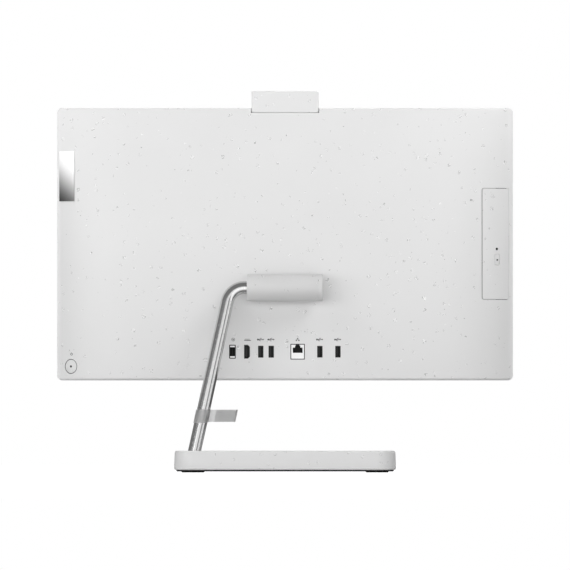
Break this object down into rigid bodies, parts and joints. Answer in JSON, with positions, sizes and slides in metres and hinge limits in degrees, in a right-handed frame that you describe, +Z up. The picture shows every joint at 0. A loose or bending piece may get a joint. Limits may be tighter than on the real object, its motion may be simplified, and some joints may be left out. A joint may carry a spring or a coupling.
{
  "type": "all in one computer",
  "caption": "White flecked desktop computer built into a thin display, tilting on a bent metal tube over a flat base, with rear sockets, a disc drive and a camera.",
  "frame": {"origin": "on the ground under the middle of the whole object", "axes": "+Z up, the screen faces -Y and the sockets face +Y, +X to the right of a person looking at the screen"},
  "size_m": [0.5408, 0.185, 0.4522],
  "materials": {
    "white_plastic": "white plastic with fine flecks",
    "grey_plastic": "translucent grey plastic",
    "black_plastic": "black moulded plastic",
    "rubber_black": "black rubber",
    "brushed_aluminium": "satin polished",
    "steel_sheet": "plain steel",
    "copper_pipe": "copper coloured metal",
    "board_green": "circuit board",
    "screen_glass": "dark glass",
    "chrome_plate": "bright metal"
  },
  "bodies": {
    "stand": {"base_shell": "white_plastic", "base_weight_plate": "steel_sheet", "base_bottom_cover": "black_plastic", "base_foot_1": "rubber_black", "base_foot_2": "rubber_black", "base_foot_3": "rubber_black", "base_foot_4": "rubber_black", "base_screw": "steel_sheet", "tube_anchor": "steel_sheet", "stand_tube": "brushed_aluminium", "hinge_shaft": "steel_sheet", "hinge_washers": "steel_sheet"},
    "clip": {"cable_clip": "grey_plastic"},
    "tray": {"drive_tray": "black_plastic", "drive_bezel": "white_plastic"},
    "spindle": {"drive_spindle": "steel_sheet"},
    "eject": {"eject_button": "white_plastic"},
    "power_key": {"power_button": "white_plastic"},
    "shutter": {"privacy_shutter": "white_plastic"},
    "rotor": {"fan_rotor": "grey_plastic"},
    "display": {"backlight_unit": "black_plastic", "badge_plate": "chrome_plate", "camera_board": "board_green", "camera_housing": "white_plastic", "camera_lens": "black_plastic", "camera_window": "screen_glass", "chassis_plate": "steel_sheet", "coin_cell": "steel_sheet", "cpu_cold_plate": "copper_pipe", "display_cable": "black_plastic", "drive_case": "steel_sheet", "fan_housing": "black_plastic", "front_frame": "white_plastic", "hard_drive": "brushed_aluminium", "hard_drive_bracket": "steel_sheet", "heat_pipe": "copper_pipe", "heat_sink": "brushed_aluminium", "hinge_barrel": "steel_sheet", "hinge_bracket": "steel_sheet", "hinge_end_cap": "white_plastic", "hinge_housing": "white_plastic", "lcd_panel": "screen_glass", "m2_ssd": "board_green", "mainboard": "board_green", "memory_module_1": "board_green", "memory_module_2": "board_green", "memory_socket": "black_plastic", "port_ethernet": "white_plastic", "port_hdmi": "steel_sheet", "port_power": "black_plastic", "port_usb_1": "steel_sheet", "port_usb_2": "steel_sheet", "port_usb_3": "steel_sheet", "port_usb_4": "steel_sheet", "power_button_board": "board_green", "processor": "steel_sheet", "rear_cover": "white_plastic", "speaker_left": "black_plastic", "speaker_right": "black_plastic", "wifi_card": "board_green"}
  },
  "joints": [
    {"name": "display_tilt", "type": "hinge", "parent": "stand", "child": "display", "pos_m": [0, 0.036, 0.2187], "axis": [-1, 0, 0], "range_deg": [-5, 20]},
    {"name": "clip_slide", "type": "slide", "parent": "stand", "child": "clip", "axis": [-0.2106, -0.1403, 0.9675], "range_m": [-0.026, 0.1]},
    {"name": "power_press", "type": "slide", "parent": "display", "child": "power_key", "axis": [-0.5664, -0.8242, 0], "range_m": [0, 0.0008], "stiffness_N_per_m": 700},
    {"name": "shutter_slide", "type": "slide", "parent": "display", "child": "shutter", "axis": [-1, 0, 0], "range_m": [0, 0.0125]},
    {"name": "fan_spin", "type": "hinge", "parent": "display", "child": "rotor", "pos_m": [0.143, -0.01, 0.334], "axis": [0, 1, 0], "continuous": true},
    {"name": "tray_slide", "type": "slide", "parent": "display", "child": "tray", "axis": [-1, 0, 0], "range_m": [0, 0.12]},
    {"name": "spindle_spin", "type": "hinge", "parent": "tray", "child": "spindle", "pos_m": [-0.179, -0.0117, 0.271], "axis": [0, 1, 0], "continuous": true},
    {"name": "eject_press", "type": "slide", "parent": "tray", "child": "eject", "axis": [0.5392, -0.8422, 0], "range_m": [0, 0.0009], "stiffness_N_per_m": 500}
  ]
}
